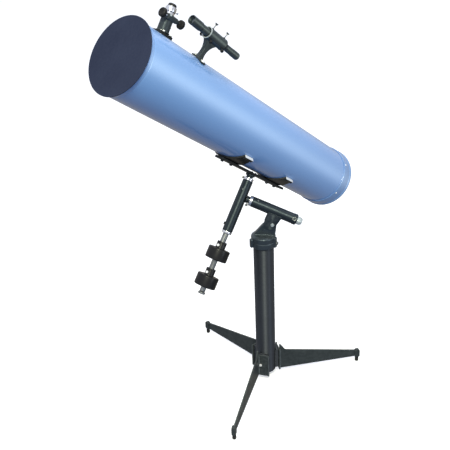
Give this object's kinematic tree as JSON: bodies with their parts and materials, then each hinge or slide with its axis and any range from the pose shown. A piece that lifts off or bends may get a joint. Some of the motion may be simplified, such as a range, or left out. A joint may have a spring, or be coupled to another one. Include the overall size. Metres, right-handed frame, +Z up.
{
  "type": "newtonian reflector telescope",
  "caption": "Newtonian reflector telescope on a German equatorial mount with counterweights, finder and rack focuser, on a pillar with splayed legs.",
  "frame": {"origin": "middle of the footprint, on the floor", "axes": "+Z is up. The polar axis lies in the XZ plane and rises towards -X, and one side of the tube faces -Y"},
  "size_m": [0.8616, 1.0665, 1.6029],
  "materials": {
    "blue_paint": "metallic gloss",
    "navy_cover": "matte",
    "black_paint": "semi-gloss",
    "black_knob": "satin",
    "chrome": "polished",
    "bare_steel": "turned",
    "mirror_glass": "front-silvered",
    "inner_black": "flat black",
    "rubber": "matte"
  },
  "bodies": {
    "stand": {"pillar": "black_paint", "leg_right": "black_paint", "leg_left": "black_paint", "leg_front": "black_paint", "foot_right": "rubber", "foot_left": "rubber", "foot_front": "rubber"},
    "head": {"pillar_head": "black_paint", "latitude_bolt": "bare_steel"},
    "azimuth_clamp": {"azimuth_clamp_screw": "bare_steel"},
    "polar_housing": {"ra_housing": "black_paint"},
    "polar_shaft": {"ra_shaft": "bare_steel", "ra_collar": "chrome", "ra_end_nut": "chrome", "dec_housing": "black_paint", "dec_collar": "chrome", "dec_end_ring": "chrome"},
    "ra_lock": {"ra_lock_screw": "bare_steel"},
    "dec_lock": {"dec_lock_screw": "bare_steel"},
    "optical_tube": {"dec_shaft": "bare_steel", "shaft_end_stop": "bare_steel", "saddle_bar": "black_paint", "cradle_front": "black_paint", "cradle_rear": "black_paint", "tube_shell": "blue_paint", "rear_ring": "blue_paint", "mirror_cell": "inner_black", "mirror_support": "inner_black", "primary_mirror": "mirror_glass", "spider": "inner_black", "secondary_holder": "inner_black", "secondary_mirror": "mirror_glass", "focuser_base": "black_paint", "focuser_body": "black_paint", "finder_bracket": "black_paint", "finder_tube": "black_paint", "finder_objective": "black_paint"},
    "upper_weight": {"upper_weight": "black_paint"},
    "upper_weight_lock": {"upper_weight_lock": "bare_steel"},
    "lower_weight": {"lower_weight": "black_paint"},
    "lower_weight_lock": {"lower_weight_lock": "bare_steel"},
    "dust_cover": {"dust_cover": "navy_cover"},
    "drawtube": {"drawtube": "chrome", "eyepiece_collar": "chrome"},
    "pinion": {"pinion_shaft": "chrome", "focus_knob_front": "black_knob", "focus_knob_rear": "black_knob"},
    "eyepiece": {"eyepiece": "black_knob"},
    "eyepiece_lock": {"eyepiece_lock_screw": "chrome"},
    "finder_eyepiece": {"finder_eyepiece": "black_knob"},
    "finder_screw_front_1": {"finder_screw_front_1": "chrome"},
    "finder_screw_front_2": {"finder_screw_front_2": "black_knob"},
    "finder_screw_front_3": {"finder_screw_front_3": "black_knob"},
    "finder_screw_rear_1": {"finder_screw_rear_1": "chrome"},
    "finder_screw_rear_2": {"finder_screw_rear_2": "black_knob"},
    "finder_screw_rear_3": {"finder_screw_rear_3": "black_knob"},
    "collimation_knob_1": {"collimation_knob_1": "black_knob"},
    "collimation_knob_2": {"collimation_knob_2": "black_knob"},
    "collimation_knob_3": {"collimation_knob_3": "black_knob"}
  },
  "joints": [
    {"name": "azimuth", "type": "hinge", "parent": "stand", "child": "head", "pos_m": [0.03306, -0.00636, 0.67], "axis": [0, 0, 1], "continuous": true},
    {"name": "azimuth_clamp_turn", "type": "hinge", "parent": "head", "child": "azimuth_clamp", "pos_m": [0.08684, -0.02809, 0.66], "axis": [0.9272, -0.3746, 0], "range_deg": [-90, 90]},
    {"name": "latitude", "type": "hinge", "parent": "head", "child": "polar_housing", "pos_m": [0.07204, -0.00636, 0.738], "axis": [0, 1, 0], "range_deg": [-10, 25]},
    {"name": "right_ascension", "type": "hinge", "parent": "polar_housing", "child": "polar_shaft", "pos_m": [-0.04879, -0.00636, 0.84179], "axis": [-0.9227, 0, 0.3854], "range_deg": [-110, 50]},
    {"name": "ra_lock_turn", "type": "hinge", "parent": "polar_shaft", "child": "ra_lock", "pos_m": [-0.02643, -0.02458, 0.82008], "axis": [-0.2046, -0.8475, -0.4898], "range_deg": [-90, 90]},
    {"name": "dec_lock_turn", "type": "hinge", "parent": "polar_shaft", "child": "dec_lock", "pos_m": [-0.04411, 0.03119, 0.90792], "axis": [-0.9401, 0.1534, 0.3045], "range_deg": [-90, 90]},
    {"name": "declination", "type": "hinge", "parent": "polar_shaft", "child": "optical_tube", "pos_m": [0.02932, 0.10113, 1.02879], "axis": [0.3405, 0.4685, 0.8152], "continuous": true},
    {"name": "upper_weight_slide", "type": "slide", "parent": "optical_tube", "child": "upper_weight", "axis": [-0.3405, -0.4685, -0.8152], "range_m": [-0.025, 0.018]},
    {"name": "lower_weight_slide", "type": "slide", "parent": "optical_tube", "child": "lower_weight", "axis": [-0.3405, -0.4685, -0.8152], "range_m": [-0.018, 0.02]},
    {"name": "upper_weight_lock_turn", "type": "hinge", "parent": "upper_weight", "child": "upper_weight_lock", "pos_m": [-0.12399, -0.11699, 0.68825], "axis": [-0.3034, -0.7658, 0.5669], "range_deg": [-90, 90]},
    {"name": "lower_weight_lock_turn", "type": "hinge", "parent": "lower_weight", "child": "lower_weight_lock", "pos_m": [-0.16179, -0.169, 0.59777], "axis": [-0.3034, -0.7658, 0.5669], "range_deg": [-90, 90]},
    {"name": "dust_cover_slide", "type": "slide", "parent": "optical_tube", "child": "dust_cover", "axis": [-0.4389, -0.6875, 0.5785], "range_m": [0, 0.06]},
    {"name": "focus_slide", "type": "slide", "parent": "optical_tube", "child": "drawtube", "axis": [0.3113, 0.4876, 0.8157], "range_m": [-0.008, 0.02]},
    {"name": "pinion_turn", "type": "hinge", "parent": "optical_tube", "child": "pinion", "pos_m": [-0.19259, -0.28217, 1.55961], "axis": [0.4389, 0.6875, -0.5785], "range_deg": [-136, 338]},
    {"name": "eyepiece_slide", "type": "slide", "parent": "drawtube", "child": "eyepiece", "axis": [0.3113, 0.4876, 0.8157], "range_m": [0, 0.04]},
    {"name": "eyepiece_lock_turn", "type": "hinge", "parent": "drawtube", "child": "eyepiece_lock", "pos_m": [-0.18546, -0.24898, 1.56953], "axis": [0.7007, 0.462, -0.5436], "range_deg": [-90, 90]},
    {"name": "finder_focus", "type": "slide", "parent": "optical_tube", "child": "finder_eyepiece", "axis": [0.4116, 0.6757, -0.6116], "range_m": [0, 0.006]},
    {"name": "finder_screw_front_1_turn", "type": "hinge", "parent": "optical_tube", "child": "finder_screw_front_1", "pos_m": [-0.07236, -0.22023, 1.52432], "axis": [0.6233, 0.2809, 0.7298], "range_deg": [-90, 90]},
    {"name": "finder_screw_front_2_turn", "type": "hinge", "parent": "optical_tube", "child": "finder_screw_front_2", "pos_m": [-0.11769, -0.21516, 1.49942], "axis": [-0.8875, 0.4498, -0.1003], "range_deg": [-90, 90]},
    {"name": "finder_screw_front_3_turn", "type": "hinge", "parent": "optical_tube", "child": "finder_screw_front_3", "pos_m": [-0.08314, -0.25057, 1.48354], "axis": [0.2642, -0.7307, -0.6295], "range_deg": [-90, 90]},
    {"name": "finder_screw_rear_1_turn", "type": "hinge", "parent": "optical_tube", "child": "finder_screw_rear_1", "pos_m": [-0.04685, -0.17833, 1.4864], "axis": [0.6233, 0.2809, 0.7298], "range_deg": [-90, 90]},
    {"name": "finder_screw_rear_2_turn", "type": "hinge", "parent": "optical_tube", "child": "finder_screw_rear_2", "pos_m": [-0.09217, -0.17327, 1.4615], "axis": [-0.8875, 0.4498, -0.1003], "range_deg": [-90, 90]},
    {"name": "finder_screw_rear_3_turn", "type": "hinge", "parent": "optical_tube", "child": "finder_screw_rear_3", "pos_m": [-0.05762, -0.20868, 1.44562], "axis": [0.2642, -0.7307, -0.6295], "range_deg": [-90, 90]},
    {"name": "collimation_knob_1_turn", "type": "hinge", "parent": "optical_tube", "child": "collimation_knob_1", "pos_m": [0.26998, 0.47279, 0.81524], "axis": [-0.4389, -0.6875, 0.5785], "range_deg": [-90, 90]},
    {"name": "collimation_knob_2_turn", "type": "hinge", "parent": "optical_tube", "child": "collimation_knob_2", "pos_m": [0.16905, 0.45456, 0.71699], "axis": [-0.4389, -0.6875, 0.5785], "range_deg": [-90, 90]},
    {"name": "collimation_knob_3_turn", "type": "hinge", "parent": "optical_tube", "child": "collimation_knob_3", "pos_m": [0.28715, 0.37576, 0.71295], "axis": [-0.4389, -0.6875, 0.5785], "range_deg": [-90, 90]}
  ],
  "couplings": [
    {"joint": "pinion_turn", "follows": "focus_slide", "rad_per_m": 294.12}
  ]
}
